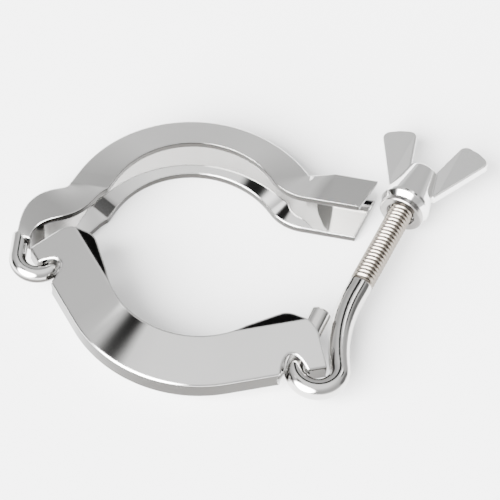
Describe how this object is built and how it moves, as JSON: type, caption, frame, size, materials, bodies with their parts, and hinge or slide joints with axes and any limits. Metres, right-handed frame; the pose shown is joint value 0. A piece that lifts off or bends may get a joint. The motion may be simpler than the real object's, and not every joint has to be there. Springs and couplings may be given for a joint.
{
  "type": "sanitary hinged clamp",
  "caption": "Hinged V-section ring clamp with a swing bolt and a wing nut, which draws two sanitary ferrules together on their gasket.",
  "frame": {"origin": "centre of the lower jaw's ring, half way up the clamp's height", "axes": "+Z along the ring's axis, which is the pipe's; +X from the hook hinge to the swing bolt; +Y from the lower jaw towards the upper jaw"},
  "size_m": [0.1262, 0.1264, 0.0186],
  "materials": {
    "polished_steel": "mirror polished stainless",
    "bolt_steel": "bright drawn stainless with a rolled thread",
    "washer_steel": "tumbled stainless",
    "nut_steel": "cast stainless, faces brushed and edges polished"
  },
  "bodies": {
    "lower_jaw": {"lower_jaw": "polished_steel"},
    "upper_jaw": {"upper_jaw": "polished_steel"},
    "swing_bolt": {"swing_bolt": "bolt_steel"},
    "washer": {"washer": "washer_steel"},
    "wing_nut": {"wing_nut": "nut_steel"}
  },
  "joints": [
    {"name": "jaw_hinge", "type": "hinge", "parent": "lower_jaw", "child": "upper_jaw", "pos_m": [-0.04764, -0.0155, 0], "axis": [0, 0, 1], "range_deg": [-20, 80]},
    {"name": "bolt_swing", "type": "hinge", "parent": "lower_jaw", "child": "swing_bolt", "pos_m": [0.04764, -0.0155, 0], "axis": [0, 0, 1], "range_deg": [-120, 1.4]},
    {"name": "washer_slide", "type": "slide", "parent": "swing_bolt", "child": "washer", "axis": [0.0244, 0.9997, 0], "range_m": [-0.00857, 0.00998]},
    {"name": "nut_turn", "type": "hinge", "parent": "washer", "child": "wing_nut", "pos_m": [0.04644, -0.01547, 0], "axis": [0.0244, 0.9997, 0], "range_deg": [-2160, 2520]}
  ],
  "couplings": [
    {"joint": "washer_slide", "follows": "nut_turn", "m_per_rad": 0.00022458}
  ]
}
